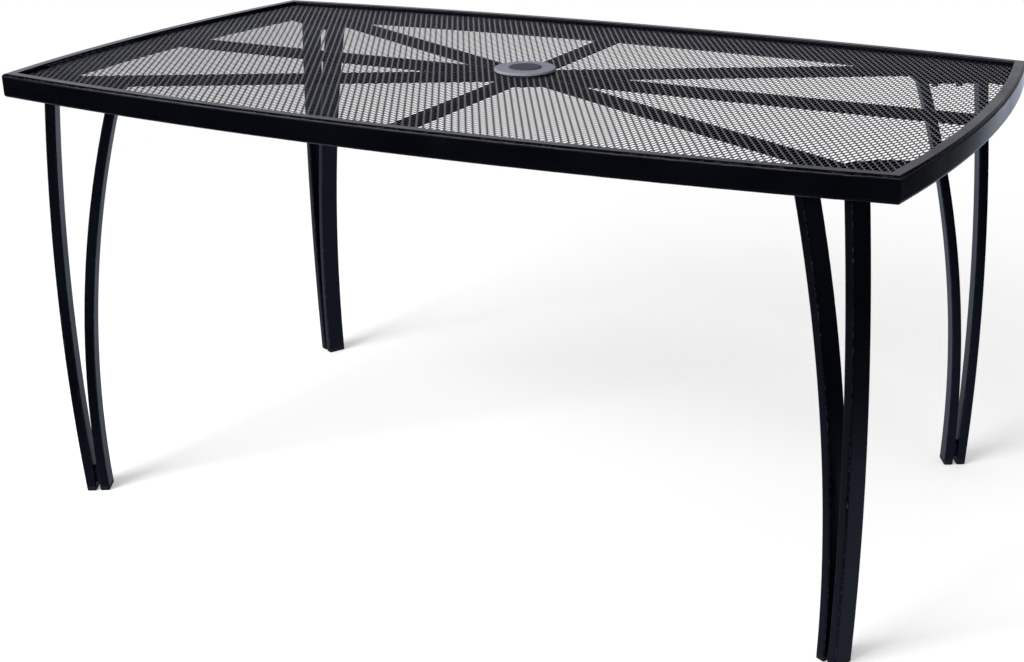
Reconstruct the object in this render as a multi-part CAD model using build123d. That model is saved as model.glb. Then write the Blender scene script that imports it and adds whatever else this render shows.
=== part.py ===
"""Garden table: a diamond mesh top in a bowed steel rim, ribs and a hub under it, four bolted V legs.

Frame: X along the long side, Y across, Z up. The origin is on the floor under the middle of the top.
All sizes are millimetres.
"""
import os
from math import asin, atan2, cos, degrees, hypot, sin, sqrt

from build123d import *

# Overall sizes: the rim's outer edge and its bowed sides
table_length = 1500.0
table_width = 870.0
top_height = 720.0
side_bow = 48.0
end_bow = 30.0

# Rim rails: rectangular tube, sharper only along its upper inner edge
rail_width = 20.0
rail_height = 37.0
rail_wall = 1.5
rail_round = 5.0
rail_inner_round = 2.0

# Mesh sheet inside the rim, with its diamonds drawn larger than the real ones
mesh_drop = 4.0
mesh_thickness = 2.0
mesh_border = 8.0
mesh_strand = 6.5
diamond_width = 72.0
diamond_length = 130.0
smallest_gap_area = 250.0

# Ribs and corner straps under the mesh
rib_width = 10.0
rib_height = 16.0
rib_wall = 1.2
strap_radius = 100.0
strap_thickness = 5.0

# Hub cup, umbrella ring and lift-out cap
hub_diameter = 100.0
hub_wall = 3.0
hub_base = 3.0
ring_diameter = 99.0
ring_thickness = 4.0
ring_round = 1.5
sleeve_wall = 4.5
pole_bore = 40.0
cap_ledge = 6.0
cap_floor = 1.5
cap_rise = 1.5
cap_disc = 2.0
cap_skirt = 4.0
cap_round = 1.0

# Leg tubes: each is one arc in the upright plane through the table's diagonal
foot_inset = 70.0
foot_gap = 6.0
tube_depth = 16.0
tube_width = 34.0
tube_wall = 1.5
tube_round = 3.0
outer_arc_radius = 4200.0
outer_apex_height = 255.0
inner_arc_radius = 1890.0
inner_apex_height = 100.0

# Foot caps and the spacer between the two tubes of a leg
foot_cap_height = 8.0
foot_cap_round = 2.0
foot_spigot = 14.0
spacer_lift = 6.0
spacer_height = 24.0
spacer_width = 20.0

# Bolted joint between the corner plates and the leg plates
corner_plate_thickness = 3.0
leg_plate_thickness = 4.0
plate_margin = 6.0
plate_edge = 9.5
bolt_diameter = 6.0
bolt_pitch = 40.0
bolt_strap_gap = 14.0
bolt_tip = 2.0
hex_across_flats = 10.0
bolt_head_height = 4.0
nut_height = 5.0
washer_diameter = 12.0
washer_thickness = 1.6

# Clearances
weld_gap = 0.25
plate_rim_gap = 2.0
hole_clearance = 0.25
thread_clearance = 0.15
sleeve_clearance = 0.25
cap_clearance = 0.3
spigot_clearance = 0.3
washer_tube_gap = 1.5

# Levels, from the rim's top down
mesh_top = top_height - mesh_drop
mesh_bottom = mesh_top - mesh_thickness
rib_bottom = mesh_bottom - rib_height
corner_plate_bottom = rib_bottom - corner_plate_thickness
leg_plate_bottom = corner_plate_bottom - leg_plate_thickness
ring_top = mesh_top + ring_thickness
cap_seat = mesh_top + cap_floor
cap_top = ring_top + cap_rise

# Round fits of the umbrella fitting: the sleeve round the pole's bore, and the cap on the ledge over it
sleeve_diameter = pole_bore + 2 * sleeve_wall
cap_diameter = pole_bore + 2 * cap_ledge

# How far the two middle points of a quarter-round curve lie towards the corner that it rounds
quarter_pull = 0.5523

# Plan: where the rim's corners and the leg planes are
corner_x = table_length / 2 - end_bow
corner_y = table_width / 2 - side_bow
corner_reach = hypot(corner_x, corner_y)
diagonal_angle = degrees(atan2(corner_y, corner_x))
foot_reach = corner_reach - foot_inset
plate_half_width = tube_width / 2 + washer_tube_gap + washer_diameter / 2 + plate_edge
bolt_side = plate_half_width - plate_edge

# The four corners by name, with the angle at which each one's diagonal leaves the middle
corners = {
    "front_left": (-1, -1, 180 + diagonal_angle),
    "front_right": (1, -1, -diagonal_angle),
    "back_left": (-1, 1, 180 - diagonal_angle),
    "back_right": (1, 1, diagonal_angle),
}
far = table_length


def bow_radius(half_chord, bow):
    """Radius of the arc that rises by bow over a chord of twice half_chord."""
    return (half_chord ** 2 + bow ** 2) / (2 * bow)


side_radius = bow_radius(corner_x, side_bow)
end_radius = bow_radius(corner_y, end_bow)


def layer(face, bottom, height):
    """A plan face raised to a level and given a height."""
    return Pos(0, 0, bottom) * extrude(face, amount=height)


def inside_rim(clearance):
    """Plan face inside the four rails' inner walls, drawn in by a clearance."""
    side = side_radius - rail_width - clearance
    end = end_radius - rail_width - clearance
    side_centre = side_radius - table_width / 2
    end_centre = end_radius - table_length / 2
    face = Pos(0, side_centre) * Circle(side)
    face = face & (Pos(0, -side_centre) * Circle(side))
    face = face & (Pos(-end_centre, 0) * Circle(end))
    return face & (Pos(end_centre, 0) * Circle(end))


def corner_disc(name, radius):
    """Plan disc about one of the rim's corners."""
    sign_x, sign_y, _ = corners[name]
    return Pos(sign_x * corner_x, sign_y * corner_y) * Circle(radius)


def along(angle):
    """Plan placement whose X runs outwards from the middle at an angle."""
    return Rot(0, 0, angle)


def eased_outline(width, height, rounds):
    """Rectangle about the origin, its corners quarter-rounded, anticlockwise from the upper right one."""
    ends = []
    for (side_x, side_y), radius in zip(((1, 1), (-1, 1), (-1, -1), (1, -1)), rounds):
        corner = Vector(side_x * width / 2, side_y * height / 2)
        upright_end = corner - Vector(0, side_y * radius)
        level_end = corner - Vector(side_x * radius, 0)
        ends.append((upright_end, corner, level_end) if side_x == side_y else (level_end, corner, upright_end))
    edges = []
    for (start, corner, end), (following, _, _) in zip(ends, ends[1:] + ends[:1]):
        pulls = [point + (corner - point) * quarter_pull for point in (start, end)]
        edges += [Bezier(start, *pulls, end), Line(end, following)]
    return make_face(edges)


def rail_section():
    """Hollow section of the rim: inward is X, up is Y, the outer lower corner is the origin."""
    def outline(inset):
        sharp = max(rail_inner_round - inset, rail_wall / 4)
        soft = max(rail_round - inset, sharp)
        return eased_outline(rail_width - 2 * inset, rail_height - 2 * inset, (sharp, soft, soft, soft))

    return Pos(rail_width / 2, rail_height / 2) * (outline(0) - outline(rail_wall))


def rail(half_chord, distance, bow, next_radius):
    """One bowed rail on the front side of a frame, mitred on the lines that halve its corners."""
    radius = bow_radius(half_chord, bow)
    own_angle = asin(half_chord / radius)
    next_angle = asin(distance / next_radius)
    mitre_x = sin(next_angle) - cos(own_angle)
    mitre_y = cos(next_angle) - sin(own_angle)
    reach = 3 * rail_width
    section_plane = Plane((0, -distance - bow, top_height - rail_height), x_dir=(0, 1, 0), z_dir=(1, 0, 0))
    axis = Axis((0, radius - distance - bow, 0), (0, 0, 1))
    spread = degrees(own_angle) + degrees(reach / radius)
    section = (section_plane * rail_section()).rotate(axis, -spread)
    tube = revolve(section, axis, 2 * spread)
    outside = -distance - bow - reach
    right = [
        (half_chord + reach * mitre_x, -distance + reach * mitre_y),
        (half_chord - reach * mitre_x, -distance - reach * mitre_y),
        (half_chord - reach * mitre_x, outside - reach),
    ]
    left = [(-x, y) for x, y in reversed(right)]
    wedge = make_face(Polyline(*right, *left, close=True))
    return tube & layer(wedge, 0, 2 * top_height)


def mesh_sheet():
    """Mesh as one holed sheet: staggered diamonds clipped to a border, and the umbrella hole."""
    outline = inside_rim(weld_gap)
    hub_zone = Circle(ring_diameter / 2)
    field = inside_rim(weld_gap + mesh_border) - hub_zone
    slant = hypot(diamond_width, diamond_length)
    gap_width = diamond_width - mesh_strand * slant / diamond_length
    gap_length = diamond_length - mesh_strand * slant / diamond_width
    tips = [(gap_width / 2, 0), (0, gap_length / 2), (-gap_width / 2, 0), (0, -gap_length / 2)]
    diamond = make_face(Polyline(*tips, close=True))
    columns = int(table_length / diamond_width) + 2
    rows = int(table_width / diamond_length) + 2
    places = []
    for shift in (0, 0.5):
        for column in range(-columns, columns + 1):
            for row in range(-rows, rows + 1):
                places.append(((column + shift) * diamond_width, (row + shift) * diamond_length))
    gaps = []
    for x, y in places:
        if abs(x) > table_length / 2 + diamond_width or abs(y) > table_width / 2 + diamond_length:
            continue
        clipped = (Pos(x, y) * diamond) & field
        gaps += [face for face in clipped.faces() if face.area > smallest_gap_area]
    print("mesh gaps:", len(gaps))
    sleeve_hole = Circle(sleeve_diameter / 2 + sleeve_clearance)
    return layer(outline - gaps - sleeve_hole, mesh_bottom, mesh_thickness)


def rib(angle, corner=None):
    """Tubular rib from the hub to the rim, or to the strap round a corner."""
    def strip(width):
        face = along(angle) * Rectangle(far, width, align=(Align.MIN, Align.CENTER))
        face = (face - Circle(hub_diameter / 2 + weld_gap)) & inside_rim(weld_gap)
        if corner:
            face = face - corner_disc(corner, strap_radius + strap_thickness / 2 + weld_gap)
        return face

    bore = layer(strip(rib_width - 2 * rib_wall), rib_bottom + rib_wall, rib_height - 2 * rib_wall)
    return layer(strip(rib_width), rib_bottom, rib_height) - bore


def corner_strap(name):
    """Curved bar round a corner, from rail to rail."""
    half = strap_thickness / 2
    bar = corner_disc(name, strap_radius + half) - corner_disc(name, strap_radius - half)
    return layer(bar & inside_rim(weld_gap), rib_bottom, rib_height)


def hub_cup():
    """Round cup that the ribs run to, with a hole in its base for the umbrella sleeve."""
    wall = Circle(hub_diameter / 2) - Circle(hub_diameter / 2 - hub_wall)
    base = Circle(hub_diameter / 2 - hub_wall) - Circle(sleeve_diameter / 2 + sleeve_clearance)
    return layer(wall, rib_bottom, rib_height) + layer(base, rib_bottom, hub_base)


def umbrella_ring():
    """Flange on the mesh with a recess for the cap, and a sleeve down through the hub's base."""
    flange = layer(Circle(ring_diameter / 2), mesh_top, ring_thickness)
    flange = fillet(flange.edges().group_by(Axis.Z)[-1], ring_round)
    sleeve = layer(Circle(sleeve_diameter / 2), rib_bottom, mesh_top - rib_bottom)
    recess = layer(Circle(cap_diameter / 2 + cap_clearance), cap_seat, ring_top - cap_seat)
    return flange + sleeve - recess - layer(Circle(pole_bore / 2), rib_bottom, cap_seat - rib_bottom)


def umbrella_cap():
    """Lift-out cap: a disc over the bore, on a skirt that stands in the ring's recess."""
    disc = layer(Circle(cap_diameter / 2), cap_top - cap_disc, cap_disc)
    disc = fillet(disc.edges().group_by(Axis.Z)[-1], cap_round)
    skirt = Circle(cap_diameter / 2) - Circle(cap_diameter / 2 - cap_skirt)
    return disc + layer(skirt, cap_seat, cap_top - cap_disc - cap_seat)


def arc_offset(radius, apex_height, level):
    """How far an arc has come inboard of its outermost point at a level."""
    return radius - sqrt(radius ** 2 - (level - apex_height) ** 2)


def apex_offset(side, radius, apex_height):
    """Place of an arc's outermost point, so that the tubes stand foot_gap apart on the floor."""
    return side * (tube_depth + foot_gap) / 2 - arc_offset(radius, apex_height, 0)


outer_arc = (outer_arc_radius, outer_apex_height, apex_offset(-1, outer_arc_radius, outer_apex_height))
inner_arc = (inner_arc_radius, inner_apex_height, apex_offset(1, inner_arc_radius, inner_apex_height))
tube_arcs = {"outer": outer_arc, "inner": inner_arc}


def arc_centre(arc, level):
    """Inboard place of a tube's middle at a level, measured from the foot."""
    radius, apex_height, offset = arc
    return offset + arc_offset(radius, apex_height, level)


def arc_bar(arc, section, bottom, top):
    """A section carried along a leg's arc and cut level at both ends; inboard is X, the foot the origin."""
    radius, apex_height, offset = arc
    axis = Axis((offset + radius, 0, apex_height), (0, 1, 0))
    below = degrees(asin((apex_height + tube_depth) / radius))
    above = degrees(asin((top + tube_depth - apex_height) / radius))
    start = (Pos(offset, 0, apex_height) * section).rotate(axis, -below)
    bar = revolve(start, axis, below + above)
    return bar & layer(Rectangle(2 * far, 2 * far), bottom, top - bottom)


def tube_outline(grow):
    """Rounded outline of a leg tube, grown by an amount on every side."""
    radius = max(tube_round + grow, tube_wall / 4)
    return eased_outline(tube_depth + 2 * grow, tube_width + 2 * grow, [radius] * 4)


def leg_tube(arc):
    """Bent tube from its foot cap to the leg plate."""
    return arc_bar(arc, tube_outline(0) - tube_outline(-tube_wall), foot_cap_height, leg_plate_bottom)


def foot_cap(arc):
    """Rounded end cap under a tube, with a spigot inside the tube."""
    base = arc_bar(arc, tube_outline(0), 0, foot_cap_height)
    base = fillet(base.edges().group_by(Axis.Z)[0], min(foot_cap_round, 0.8 * tube_round))
    spigot_outline = tube_outline(-tube_wall - spigot_clearance)
    return base + arc_bar(arc, spigot_outline, foot_cap_height, foot_cap_height + foot_spigot)


def foot_spacer():
    """Block that fills the slit between the two tubes just above the floor."""
    bottom = foot_cap_height + spacer_lift
    start = arc_centre(outer_arc, bottom)
    length = arc_centre(inner_arc, bottom) - start
    block = Pos(start, 0) * Rectangle(length, spacer_width, align=(Align.MIN, Align.CENTER))
    block = layer(block, bottom, spacer_height)
    for arc in tube_arcs.values():
        block = block - arc_bar(arc, tube_outline(weld_gap), 0, bottom + 2 * spacer_height)
    return block


def leg_place(name):
    """Placement of a leg: its foot on the diagonal, with X running inboard."""
    angle = corners[name][2]
    return Rot(0, 0, angle) * Pos(foot_reach, 0, 0) * Rot(0, 0, 180)


near_bolt = strap_radius + strap_thickness / 2 + bolt_strap_gap - foot_inset
bolt_places = [(near_bolt + step, side) for step in (0, bolt_pitch) for side in (-bolt_side, bolt_side)]


def joint_plate(name, bottom, thickness):
    """Plate over both tubes' tops along the diagonal, trimmed clear of the rails and drilled for bolts."""
    tube_reach = arc_centre(inner_arc, leg_plate_bottom) + tube_depth / 2
    inboard = max(tube_reach + plate_margin, near_bolt + bolt_pitch + plate_edge)
    outboard = arc_centre(outer_arc, leg_plate_bottom) - tube_depth / 2 - plate_margin
    shape = Pos(outboard, 0) * Rectangle(
        inboard - outboard, 2 * plate_half_width, align=(Align.MIN, Align.CENTER)
    )
    for place in bolt_places:
        shape = shape - Pos(*place) * Circle(bolt_diameter / 2 + hole_clearance)
    return layer((leg_place(name) * shape) & inside_rim(plate_rim_gap), bottom, thickness)


def hex_face():
    """Hexagon of the bolt heads and nuts."""
    return RegularPolygon(hex_across_flats / 2, 6, major_radius=False)


def bolt():
    """Hexagon bolt, pointing up from the washer under its leg plate."""
    seat = leg_plate_bottom - washer_thickness
    tip = rib_bottom + nut_height + bolt_tip
    return layer(hex_face(), seat - bolt_head_height, bolt_head_height) + layer(
        Circle(bolt_diameter / 2), seat, tip - seat
    )


def washer():
    """Plain washer under a leg plate."""
    hole = Circle(bolt_diameter / 2 + hole_clearance)
    return layer(Circle(washer_diameter / 2) - hole, leg_plate_bottom - washer_thickness, washer_thickness)


def nut():
    """Hexagon nut on a corner plate."""
    return layer(hex_face() - Circle(bolt_diameter / 2 + thread_clearance), rib_bottom, nut_height)


def at_every_bolt(piece):
    """Copies of a fastener at every bolt place of the four legs."""
    return Compound([leg_place(name) * Pos(*place, 0) * piece for name in corners for place in bolt_places])


# Rim, mesh, hub and umbrella fitting
side_rail = rail(corner_x, corner_y, side_bow, end_radius)
end_rail = rail(corner_y, corner_x, end_bow, side_radius)
parts = {
    "front_rail": side_rail,
    "right_rail": Rot(0, 0, 90) * end_rail,
    "back_rail": Rot(0, 0, 180) * side_rail,
    "left_rail": Rot(0, 0, 270) * end_rail,
    "mesh_top": mesh_sheet(),
    "hub_cup": hub_cup(),
    "umbrella_ring": umbrella_ring(),
    "umbrella_cap": umbrella_cap(),
}

# Straight ribs, then each corner's rib, strap, plates and leg
for name, angle in {"right": 0, "back": 90, "left": 180, "front": 270}.items():
    parts[name + "_rib"] = rib(angle)
for name, (_, _, angle) in corners.items():
    parts[name + "_rib"] = rib(angle, name)
    parts[name + "_corner_strap"] = corner_strap(name)
    parts[name + "_corner_plate"] = joint_plate(name, corner_plate_bottom, corner_plate_thickness)
    parts[name + "_leg_plate"] = joint_plate(name, leg_plate_bottom, leg_plate_thickness)
    for which, arc in tube_arcs.items():
        parts[name + "_" + which + "_tube"] = leg_place(name) * leg_tube(arc)
        parts[name + "_" + which + "_foot_cap"] = leg_place(name) * foot_cap(arc)
    parts[name + "_foot_spacer"] = leg_place(name) * foot_spacer()

# Fasteners of the four legs
parts["leg_bolts"] = at_every_bolt(bolt())
parts["leg_washers"] = at_every_bolt(washer())
parts["leg_nuts"] = at_every_bolt(nut())

os.makedirs("parts", exist_ok=True)
for name, shape in parts.items():
    export_step(shape, "parts/" + name + ".step")
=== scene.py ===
from math import cos, radians, sin

import bpy
import numpy as np
from mathutils import Matrix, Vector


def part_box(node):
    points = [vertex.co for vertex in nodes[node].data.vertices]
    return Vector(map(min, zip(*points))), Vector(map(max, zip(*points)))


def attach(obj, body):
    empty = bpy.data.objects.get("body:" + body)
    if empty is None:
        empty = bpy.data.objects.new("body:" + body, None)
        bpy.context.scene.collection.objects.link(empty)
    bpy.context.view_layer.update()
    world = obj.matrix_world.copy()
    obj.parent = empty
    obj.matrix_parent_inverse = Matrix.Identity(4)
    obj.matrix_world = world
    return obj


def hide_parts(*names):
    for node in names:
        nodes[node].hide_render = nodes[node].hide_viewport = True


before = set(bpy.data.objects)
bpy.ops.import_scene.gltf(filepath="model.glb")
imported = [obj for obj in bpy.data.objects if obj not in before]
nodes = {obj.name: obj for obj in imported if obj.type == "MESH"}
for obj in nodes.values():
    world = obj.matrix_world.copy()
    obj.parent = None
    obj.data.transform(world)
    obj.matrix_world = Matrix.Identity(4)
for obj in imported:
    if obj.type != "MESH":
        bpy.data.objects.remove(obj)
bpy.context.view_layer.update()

# Plan of the rim in metres: half length and width of its outer edge, bows of its sides, width of its tubes
half_length, half_width = 0.750, 0.435
side_bow, end_bow, rail_width = 0.048, 0.030, 0.020
corner_x, corner_y = half_length - end_bow, half_width - side_bow
side_radius = (corner_x ** 2 + side_bow ** 2) / (2 * side_bow)
end_radius = (corner_y ** 2 + end_bow ** 2) / (2 * end_bow)
corner_reach = float(np.hypot(corner_x, corner_y))
diagonal = (corner_x / corner_reach, corner_y / corner_reach)
corners = ("front_left", "front_right", "back_left", "back_right")

# Expanded mesh in metres: diamonds, strands, knots, lean of the strands, room at the rails and round the hub
diamond_across, diamond_along = 0.0112, 0.0194
strand_width, strand_thickness = 0.0029, 0.00035
knot_length, strand_lean = 0.0050, radians(6)
wall_gap, hub_hole = 0.0004, 0.0262
# Corners of a strand's profile, in strand widths and strand thicknesses
strand_profile = np.array([(-0.5, 0.0), (-0.36, 0.5), (0.36, 0.5), (0.5, 0.0), (0.36, -0.5), (-0.36, -0.5)])

# Colours of the finishes, and the tints of what their gloss mirrors
black, black_thin = (0.0007, 0.0008, 0.0016, 1.0), (0.0016, 0.0019, 0.0034, 1.0)
edge_grey, dust_grey = (0.055, 0.058, 0.066, 1.0), (0.16, 0.155, 0.145, 1.0)
cool, navy = (0.86, 0.91, 1.0, 1.0), (0.58, 0.66, 1.0, 1.0)

# Colours of the studio: plain white, what gloss mirrors of the floor and the sky, and the paper of the floor
white, cool_white = (1.0, 1.0, 1.0, 1.0), (0.77, 0.84, 1.0, 1.0)
sky_white, paper_white = (0.84, 0.845, 0.95, 1.0), (0.94, 0.94, 0.94, 1.0)
floor_half, floor_drop, lamp_target = 15.0, 0.0004, (0.0, 0.0, 0.4)


# Node helpers
def socket(tree, name, kind, value=None, out=False):
    """A named input or output of a shader group."""
    kinds = {"value": "NodeSocketFloat", "colour": "NodeSocketColor"}
    made = tree.interface.new_socket(name, in_out="OUTPUT" if out else "INPUT", socket_type=kinds[kind])
    if value is not None:
        made.default_value = value


def node(tree, kind, links=None, **settings):
    """A shader node with its settings; links gives values or outputs for its inputs."""
    made = tree.nodes.new(kind)
    for key, value in settings.items():
        setattr(made, key, value)
    for key, value in (links or {}).items():
        target = made.inputs[key]
        if isinstance(value, bpy.types.NodeSocket):
            tree.links.new(value, target)
        else:
            target.default_value = value
    return made


def maths(tree, operation, *values, clamp=False):
    """One operation on values or outputs."""
    links = dict(enumerate(values))
    return node(tree, "ShaderNodeMath", links, operation=operation, use_clamp=clamp).outputs[0]


def times(tree, first, *others):
    """The product of several values or outputs."""
    for other in others:
        first = maths(tree, "MULTIPLY", first, other)
    return first


def plus(tree, first, *others):
    """The sum of several values or outputs."""
    for other in others:
        first = maths(tree, "ADD", first, other)
    return first


def spread(tree, value, low, high, to_low=0.0, to_high=1.0):
    """A value carried from one range to another and held inside it."""
    links = {"Value": value, "From Min": low, "From Max": high, "To Min": to_low, "To Max": to_high}
    return node(tree, "ShaderNodeMapRange", links).outputs[0]


def swing(tree, field, to_low, to_high):
    """A noise field, which mostly lies between 0.3 and 0.7, carried to another range."""
    return spread(tree, field, 0.3, 0.7, to_low, to_high)


def mixed(tree, amount, first, second):
    """Two colours mixed by an amount."""
    made = node(tree, "ShaderNodeMix", data_type="RGBA")
    for socket_in, value in zip((made.inputs[0], made.inputs[6], made.inputs[7]), (amount, first, second)):
        if isinstance(value, bpy.types.NodeSocket):
            tree.links.new(value, socket_in)
        else:
            socket_in.default_value = value
    return made.outputs[2]


def noise(tree, place, scale, detail=2.0, rough=0.5):
    """Soft random field at a number of grains a metre."""
    links = {"Vector": place, "Scale": scale, "Detail": detail, "Roughness": rough}
    return node(tree, "ShaderNodeTexNoise", links).outputs["Fac"]


def parted(tree, vector):
    """The three parts of a vector."""
    return node(tree, "ShaderNodeSeparateXYZ", {0: vector}).outputs


def group(name, inputs, outputs):
    """An empty shader group with its sockets; gives its tree, its inputs and a function for its outputs."""
    tree = bpy.data.node_groups.new(name, "ShaderNodeTree")
    for key, (kind, value) in inputs.items():
        socket(tree, key, kind, value)
    for key, kind in outputs.items():
        socket(tree, key, kind, out=True)
    entry = tree.nodes.new("NodeGroupInput")
    leave = tree.nodes.new("NodeGroupOutput")

    def give(**values):
        for key, value in values.items():
            tree.links.new(value, leave.inputs[key])

    return tree, entry.outputs, give


# What every finish group puts out
finish_outputs = {"Colour": "colour", "Roughness": "value", "Height": "value"}


def powder_coat_group():
    """Powder coat: fine grain, soft clouds of gloss, dust on level faces, paint worn thin on rounded edges.

    The edge mask is twice one minus the sum of the fourth powers of the normal's parts along three square
    axes: nought on flat faces, one in the middle of a rounded edge. Cos and Sin turn two of the axes in plan.
    """
    tree, given, give = group("powder coat", {
        "Paint": ("colour", None), "Worn": ("colour", None), "Cos": ("value", 1.0), "Sin": ("value", 0.0),
        "Grain": ("value", 900.0), "Gloss": ("value", 0.4), "Dust": ("value", 0.2)}, finish_outputs)
    place = node(tree, "ShaderNodeTexCoord").outputs["Object"]
    where = parted(tree, place)
    facing = parted(tree, node(tree, "ShaderNodeNewGeometry").outputs["Normal"])
    quarter = maths(tree, "SIGN", times(tree, where[0], where[1]))
    turned_y = times(tree, facing[1], quarter)
    along = plus(tree, times(tree, facing[0], given["Cos"]), times(tree, turned_y, given["Sin"]))
    across = maths(tree, "SUBTRACT", times(tree, turned_y, given["Cos"]),
                   times(tree, facing[0], given["Sin"]))
    fourth = [maths(tree, "POWER", maths(tree, "ABSOLUTE", part), 4.0) for part in (along, across, facing[2])]
    edge = maths(tree, "MULTIPLY", maths(tree, "SUBTRACT", 1.0, plus(tree, *fourth)), 2.0, clamp=True)
    chips = spread(tree, noise(tree, place, 140.0, detail=5.0, rough=0.65), 0.50, 0.66)
    worn = times(tree, spread(tree, edge, 0.45, 0.95), chips)
    clouds = noise(tree, place, 9.0, detail=4.0, rough=0.55)
    grain = noise(tree, place, given["Grain"], rough=0.6)
    peel = noise(tree, place, 260.0)
    level = spread(tree, facing[2], 0.7, 1.0)
    settled = spread(tree, noise(tree, place, 26.0, detail=6.0, rough=0.7), 0.42, 0.70)
    dust = times(tree, level, given["Dust"], settled)
    paint = mixed(tree, swing(tree, clouds, 0.0, 0.35), given["Paint"], given["Worn"])
    paint = mixed(tree, times(tree, worn, 0.35), paint, edge_grey)
    paint = mixed(tree, times(tree, dust, 0.25), paint, dust_grey)
    gloss = plus(tree, given["Gloss"], swing(tree, clouds, -0.05, 0.07), swing(tree, grain, -0.03, 0.04),
                 times(tree, plus(tree, worn, dust), 0.06))
    height = plus(tree, times(tree, grain, 0.35), times(tree, peel, 0.65))
    height = maths(tree, "SUBTRACT", height, times(tree, worn, 0.1))
    give(Colour=paint, Roughness=gloss, Height=height)
    return tree


def moulded_plastic_group():
    """Moulded plastic: spark-eroded grain, faint flow clouds, and rubbed rings about the upright axis."""
    tree, given, give = group("moulded plastic", {
        "Plastic": ("colour", None), "Rubbed": ("colour", None), "Gloss": ("value", 0.5),
        "Grain": ("value", 1600.0)}, finish_outputs)
    place = node(tree, "ShaderNodeTexCoord").outputs["Object"]
    where = parted(tree, place)
    clouds = noise(tree, place, 22.0, detail=4.0, rough=0.6)
    grain = noise(tree, place, given["Grain"], detail=3.0, rough=0.6)
    squares = [maths(tree, "POWER", part, 2.0) for part in (where[0], where[1])]
    from_axis = maths(tree, "SQRT", plus(tree, *squares))
    rings = maths(tree, "SINE", plus(tree, times(tree, from_axis, 5200.0), times(tree, clouds, 4.0)))
    scuffs = spread(tree, noise(tree, place, 75.0, detail=6.0, rough=0.75), 0.55, 0.72)
    colour = mixed(tree, swing(tree, clouds, 0.0, 0.5), given["Plastic"], given["Rubbed"])
    colour = mixed(tree, times(tree, scuffs, 0.25), colour, given["Rubbed"])
    gloss = plus(tree, given["Gloss"], swing(tree, clouds, -0.05, 0.06), times(tree, scuffs, 0.08))
    height = plus(tree, times(tree, grain, 0.8), times(tree, rings, 0.06))
    give(Colour=colour, Roughness=gloss, Height=height)
    return tree


def plated_group():
    """Zinc plating: cloudy spangle, short streaks and dulled patches."""
    tree, given, give = group("zinc plate", {
        "Bright": ("colour", None), "Dull": ("colour", None)}, finish_outputs)
    place = node(tree, "ShaderNodeTexCoord").outputs["Object"]
    spangle = noise(tree, place, 420.0, detail=3.0, rough=0.6)
    patches = spread(tree, noise(tree, place, 120.0, detail=5.0, rough=0.7), 0.42, 0.68)
    stretched = {"Vector": place, "Scale": (2600.0, 2600.0, 220.0)}
    streaks = noise(tree, node(tree, "ShaderNodeMapping", stretched).outputs[0], 1.0)
    colour = mixed(tree, patches, given["Bright"], given["Dull"])
    gloss = plus(tree, swing(tree, spangle, 0.26, 0.42), times(tree, patches, 0.16))
    height = plus(tree, times(tree, spangle, 0.4), times(tree, streaks, 0.6))
    give(Colour=colour, Roughness=gloss, Height=height)
    return tree


def finish_of(name, effect, values, bump, **uniform):
    """A material: one effect group feeding a Principled shader, with plain values on the shader's sockets.

    bump is the strength of the relief and its depth in metres.
    """
    made = bpy.data.materials.new(name)
    made.use_nodes = True
    tree = made.node_tree
    shader = tree.nodes["Principled BSDF"]
    placed = node(tree, "ShaderNodeGroup", node_tree=effect)
    for key, value in values.items():
        placed.inputs[key].default_value = value
    strength, depth = bump
    relief = {"Strength": strength, "Distance": depth, "Height": placed.outputs["Height"]}
    raised = node(tree, "ShaderNodeBump", relief)
    tree.links.new(placed.outputs["Colour"], shader.inputs["Base Color"])
    tree.links.new(placed.outputs["Roughness"], shader.inputs["Roughness"])
    tree.links.new(raised.outputs["Normal"], shader.inputs["Normal"])
    for key, value in uniform.items():
        shader.inputs[key.replace("_", " ")].default_value = value
    return made


powder_coat, moulded_plastic, zinc_plate = powder_coat_group(), moulded_plastic_group(), plated_group()
square, slanting = {"Cos": 1.0, "Sin": 0.0}, {"Cos": diagonal[0], "Sin": diagonal[1]}


def painted(name, axes, gloss, dust, mirror, tint=cool, bump=(0.10, 0.0002), grain=900.0):
    """Black powder coat; axes are those of the piece's flat faces, mirror and tint are of its reflections."""
    values = dict(axes, Paint=black, Worn=black_thin, Gloss=gloss, Dust=dust, Grain=grain)
    return finish_of(name, powder_coat, values, bump, Specular_IOR_Level=mirror, Specular_Tint=tint)


def moulded(name, plastic, rubbed, gloss, mirror, bump=(0.12, 0.0002)):
    """Moulded plastic of a colour and of the colour that it is rubbed to."""
    values = {"Plastic": plastic + (1.0,), "Rubbed": rubbed + (1.0,), "Gloss": gloss}
    return finish_of(name, moulded_plastic, values, bump, Specular_IOR_Level=mirror)


rim_paint = painted("rim paint", square, gloss=0.17, dust=0.15, mirror=0.36)
frame_paint = painted("frame paint", square, gloss=0.50, dust=0.0, mirror=0.03, bump=(0.12, 0.0002))
corner_paint = painted("corner paint", slanting, gloss=0.50, dust=0.0, mirror=0.03, bump=(0.12, 0.0002))
leg_paint = painted("leg paint", slanting, gloss=0.28, dust=0.05, mirror=0.40, tint=navy)
mesh_paint = painted("mesh paint", square, gloss=0.09, dust=0.0, mirror=0.55, bump=(0.06, 0.0001),
                     grain=1500.0)
foot_plastic = moulded("foot plastic", (0.006, 0.006, 0.008), (0.013, 0.013, 0.015), gloss=0.55, mirror=0.25,
                       bump=(0.15, 0.0002))
ring_plastic = moulded("ring plastic", (0.209, 0.225, 0.267), (0.250, 0.264, 0.305), gloss=0.50, mirror=0.45)
cap_plastic = moulded("cap plastic", (0.044, 0.048, 0.067), (0.061, 0.066, 0.085), gloss=0.52, mirror=0.40)
zinc_colours = {"Bright": (0.075, 0.075, 0.080, 1.0), "Dull": (0.035, 0.035, 0.038, 1.0)}
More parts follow.
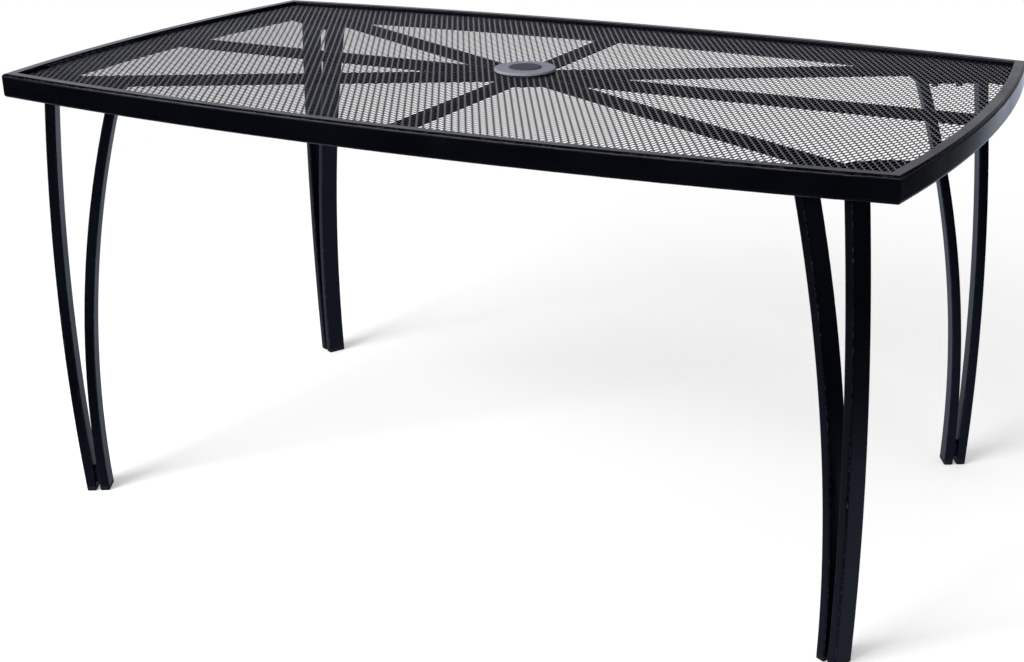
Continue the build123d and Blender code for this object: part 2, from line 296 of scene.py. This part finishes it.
zinc = finish_of("zinc plate", zinc_plate, zinc_colours, (0.15, 0.0001), Metallic=1.0)


def coat(name, material):
    """Gives a piece of the table its finish."""
    nodes[name].data.materials.clear()
    nodes[name].data.materials.append(material)


for side in ("front", "back", "left", "right"):
    coat(side + "_rail", rim_paint)
    coat(side + "_rib", frame_paint)
coat("hub_cup", frame_paint)
for corner in corners:
    for piece in ("rib", "corner_strap", "corner_plate"):
        coat(corner + "_" + piece, corner_paint)
    for piece in ("leg_plate", "outer_tube", "inner_tube", "foot_spacer"):
        coat(corner + "_" + piece, leg_paint)
    for piece in ("outer_foot_cap", "inner_foot_cap"):
        coat(corner + "_" + piece, foot_plastic)
for piece in ("leg_bolts", "leg_washers", "leg_nuts"):
    coat(piece, zinc)
coat("umbrella_ring", ring_plastic)
coat("umbrella_cap", cap_plastic)


def inner_reach(x):
    """Half the mesh's width at a place along the table: the nearer of the rails' inner arcs, side and end."""
    side = np.sqrt(np.maximum((side_radius - rail_width - wall_gap) ** 2 - x ** 2, 0.0))
    side = side - (side_radius - half_width)
    past = np.abs(x) + end_radius - half_length
    end = np.sqrt(np.maximum((end_radius - rail_width - wall_gap) ** 2 - past ** 2, 0.0))
    return np.minimum(side, end)


def mesh_ribbons(first, last):
    """Zigzag ribbons of expanded steel, numbered from the middle of the table.

    Ribbon k runs along the table's width. Every half diamond it lies against its left or right neighbour for
    the length of a knot, then slants across to the other one. Its path is x = (k or k + 1) half diamonds, half
    a strand inwards, and its height falls and rises by the lean of the strands. The profile is a flat hexagon,
    leaning about the path, at both ends of each knot, and closed at the ends of the ribbon.
    """
    low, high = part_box("mesh_top")
    middle = (low.z + high.z) / 2
    half_rows = int(half_width / (diamond_along / 2)) + 1
    k = np.arange(first, last)[:, None]
    j = np.arange(-half_rows, half_rows + 1)[None, :]
    right = (k + j) % 2
    x = (k + right) * diamond_across / 2 + np.where(right, -1.0, 1.0) * strand_width / 2
    y = np.broadcast_to(j * diamond_along / 2, x.shape)
    z = middle + np.where(right, 1.0, -1.0) * strand_width / 2 * sin(strand_lean)
    x, z = np.repeat(x, 2, axis=1), np.repeat(z, 2, axis=1)
    y = np.stack([y - knot_length / 2, y + knot_length / 2], axis=2).reshape(x.shape)
    reach = inner_reach(x)
    inside = (np.abs(y) < reach) & (np.hypot(x, y) > hub_hole)
    y = np.clip(y, -reach, reach)
    wide, thick = strand_profile[:, 0] * strand_width, strand_profile[:, 1] * strand_thickness
    across = wide * cos(strand_lean) + thick * sin(strand_lean)
    upward = thick * cos(strand_lean) - wide * sin(strand_lean)
    sides = len(strand_profile)
    along = np.broadcast_to(y[..., None], x.shape + (sides,))
    points = np.stack([x[..., None] + across, along, z[..., None] + upward], axis=-1)
    ribbons, rows = x.shape
    ring = np.arange(sides)
    start = (np.arange(ribbons)[:, None] * rows + np.arange(rows - 1)[None, :]) * sides
    near = start[..., None] + ring
    near_next = start[..., None] + (ring + 1) % sides
    quads = np.stack([near, near_next, near_next + sides, near + sides], axis=-1)
    clear = np.hypot(x, y) > hub_hole
    shown = (inside[:, :-1] | inside[:, 1:]) & clear[:, :-1] & clear[:, 1:]
    before, after = np.pad(shown, ((0, 0), (1, 0))), np.pad(shown, ((0, 0), (0, 1)))
    profile = (np.arange(ribbons)[:, None] * rows + np.arange(rows)[None, :]) * sides
    near_ends = profile[after & ~before][:, None] + np.array([3, 2, 1, 0, 5, 4, 3, 0])
    far_ends = profile[before & ~after][:, None] + np.array([0, 1, 2, 3, 0, 3, 4, 5])
    faces = np.concatenate([part.reshape(-1, 4) for part in (quads[shown], near_ends, far_ends)])
    return points.reshape(-1, 3), faces


def surface(name, points, quads, material):
    """A mesh object from arrays of points and four-sided faces, without points that no face uses."""
    used, quads = np.unique(quads, return_inverse=True)
    points, quads = points[used], quads.reshape(-1, 4)
    mesh = bpy.data.meshes.new(name)
    mesh.vertices.add(len(points))
    mesh.vertices.foreach_set("co", points.astype(np.float32).ravel())
    mesh.loops.add(quads.size)
    mesh.loops.foreach_set("vertex_index", quads.astype(np.int32).ravel())
    mesh.polygons.add(len(quads))
    mesh.polygons.foreach_set("loop_start", np.arange(0, quads.size, 4, dtype=np.int32))
    mesh.update(calc_edges=True)
    mesh.materials.append(material)
    made = bpy.data.objects.new(name, mesh)
    bpy.context.scene.collection.objects.link(made)
    return made


ribbon_count = int((half_length - rail_width) / (diamond_across / 2)) + 1
thirds = np.linspace(-ribbon_count, ribbon_count, 4).astype(int)
for name, first, last in zip(("mesh_left", "mesh_middle", "mesh_right"), thirds[:-1], thirds[1:]):
    strands = surface(name, *mesh_ribbons(first, last), mesh_paint)
    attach(strands, "table")
    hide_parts("mesh_top")


# Floor, light and camera
def straight_ray(tree, ray):
    """One where the camera looks straight or through glass, else nought."""
    return maths(tree, "MAXIMUM", ray["Is Camera Ray"], ray["Is Transmission Ray"])


def white_floor():
    """White paper just below the feet.

    The camera sees shaded paper with a little light added, which keeps the shadows, and plain white further
    off. Glossy paint mirrors a floor of its own: dark in front but for a pale strip, brighter under the table
    and behind it, and dark past its right end. The ranges are of places and distances in metres.
    """
    sheet = bpy.data.meshes.new("floor")
    plan = [(-floor_half, -floor_half, 0), (floor_half, -floor_half, 0), (floor_half, floor_half, 0),
            (-floor_half, floor_half, 0)]
    sheet.from_pydata(plan, [], [(0, 1, 2, 3)])
    floor = bpy.data.objects.new("floor", sheet)
    bpy.context.scene.collection.objects.link(floor)
    floor.location.z = -floor_drop
    paper = bpy.data.materials.new("white paper")
    paper.use_nodes = True
    tree = paper.node_tree
    tree.nodes.clear()
    ray = node(tree, "ShaderNodeLightPath").outputs
    straight = straight_ray(tree, ray)
    place = node(tree, "ShaderNodeTexCoord").outputs["Object"]
    where = parted(tree, place)
    away = node(tree, "ShaderNodeVectorMath", {0: place}, operation="LENGTH").outputs["Value"]
    strip = times(tree, spread(tree, where[1], -2.4, -1.9, 0.0, 0.30),
                  spread(tree, where[1], -1.5, -1.1, 1.0, 0.0), spread(tree, where[0], -1.1, -0.7, 0.0, 1.0))
    under = spread(tree, where[1], -0.85, -0.30, 0.01, 0.38)
    behind = spread(tree, where[1], 1.0, 4.5, 0.0, 0.62)
    past_end = spread(tree, where[0], 1.30, 1.65, 1.0, 0.07)
    mirrored = times(tree, plus(tree, strip, under, behind), past_end)
    shade = mixed(tree, ray["Is Glossy Ray"], white, cool_white)
    strength = maths(tree, "MAXIMUM", straight, mirrored)
    glow = node(tree, "ShaderNodeEmission", {"Color": shade, "Strength": strength})
    near_lift = spread(tree, away, 0.55, 0.85, 0.12, 0.20)
    far_lift = spread(tree, away, 1.0, 4.0, 0.0, 0.16)
    lift = times(tree, straight, plus(tree, near_lift, far_lift))
    raised = node(tree, "ShaderNodeEmission", {"Color": white, "Strength": lift})
    matt = node(tree, "ShaderNodeBsdfDiffuse", {"Color": paper_white})
    paler = node(tree, "ShaderNodeAddShader", {0: matt.outputs[0], 1: raised.outputs[0]})
    plain = times(tree, straight, spread(tree, away, 0.75, 2.2, 0.18, 1.0))
    share = plus(tree, plain, ray["Is Glossy Ray"])
    both = node(tree, "ShaderNodeMixShader", {0: share, 1: paler.outputs[0], 2: glow.outputs[0]})
    node(tree, "ShaderNodeOutputMaterial", {"Surface": both.outputs[0]})
    sheet.materials.append(paper)


def studio_sky():
    """Sky that is white to the camera and a soft light on matt faces.

    Glossy paint mirrors a pale band above the horizon. It is dimmer to the front and to the right, brightest
    low down at the far left, less so low down elsewhere, and dark above about 18 degrees. The ranges are of
    the direction's parts.
    """
    world = bpy.data.worlds.new("studio")
    bpy.context.scene.world = world
    world.use_nodes = True
    tree = world.node_tree
    tree.nodes.clear()
    ray = node(tree, "ShaderNodeLightPath").outputs
    ahead = parted(tree, node(tree, "ShaderNodeTexCoord").outputs["Generated"])
    front_dimmed = spread(tree, ahead[1], -0.2, 0.4, 0.60, 1.0)
    top_dark = spread(tree, ahead[2], 0.27, 0.33, 1.0, 0.012)
    right_dimmed = spread(tree, ahead[0], -0.25, 0.40, 1.0, 0.25)
    low_bright = spread(tree, ahead[2], 0.02, 0.16, 1.1, 0.70)
    low_right = times(tree, spread(tree, ahead[0], -0.45, -0.22, 0.0, 0.60),
                      spread(tree, ahead[2], 0.08, 0.20, 1.0, 0.0))
    low_right_dimmed = maths(tree, "SUBTRACT", 1.0, low_right)
    band = times(tree, front_dimmed, top_dark, right_dimmed, low_bright, low_right_dimmed)
    soft = spread(tree, straight_ray(tree, ray), 0.0, 1.0, 0.45, 1.0)
    strength = node(tree, "ShaderNodeMix", {0: ray["Is Glossy Ray"], 2: soft, 3: band}).outputs[0]
    shade = mixed(tree, ray["Is Glossy Ray"], white, sky_white)
    sky = node(tree, "ShaderNodeBackground", {"Color": shade, "Strength": strength})
    node(tree, "ShaderNodeOutputWorld", {"Surface": sky.outputs[0]})


def soft_box(name, place, width, height, watts, mirrored=True):
    """A soft light of a width and height at a place, facing the table, which glossy paint mirrors or not."""
    lamp = bpy.data.lights.new(name, "AREA")
    lamp.shape, lamp.size, lamp.size_y, lamp.energy = "RECTANGLE", width, height, watts
    made = bpy.data.objects.new(name, lamp)
    bpy.context.scene.collection.objects.link(made)
    made.visible_glossy = mirrored
    away = np.subtract(place, lamp_target)
    away = away / np.linalg.norm(away)
    side = np.cross((0.0, 0.0, 1.0), away)
    side = side / np.linalg.norm(side)
    turn = np.column_stack([side, np.cross(away, side), away])
    made.matrix_world = Matrix.Translation(place) @ Matrix(turn.tolist()).to_4x4()


white_floor()
studio_sky()
# The wide lamp draws the thin line along the rim's edge, the other one gives the shadows beside the feet
soft_box("rim light", (-1.6, -3.4, 2.6), width=5.0, height=1.8, watts=80.0)
soft_box("key light", (-2.6, -5.0, 3.6), width=3.2, height=2.6, watts=400.0, mirrored=False)

# The camera: turned left and down, its frame shifted because the picture is cut close round the table
yaw, pitch, roll = radians(-24.15), radians(21.074), radians(-0.098)
camera_place = (1.18545, -2.23702, 1.24209)
focal_pixels, centre_x, picture_width = 1593.23, 628.91, 1024.0
ahead = np.array([sin(yaw) * cos(pitch), cos(yaw) * cos(pitch), -sin(pitch)])
level = np.array([cos(yaw), -sin(yaw), 0.0])
down = np.cross(ahead, level)
right = cos(roll) * level + sin(roll) * down
below = cos(roll) * down - sin(roll) * level
lens = bpy.data.cameras.new("camera")
lens.sensor_fit, lens.sensor_width = "HORIZONTAL", 36.0
lens.lens = focal_pixels / picture_width * lens.sensor_width
lens.shift_x = (picture_width / 2 - centre_x) / picture_width
lens.clip_start, lens.clip_end = 0.05, 100.0
camera = bpy.data.objects.new("camera", lens)
bpy.context.scene.collection.objects.link(camera)
camera.matrix_world = Matrix.Translation(camera_place) @ Matrix(
    np.column_stack([right, -below, -ahead]).tolist()).to_4x4()
bpy.context.scene.camera = camera
bpy.context.scene.view_settings.view_transform = "Standard"
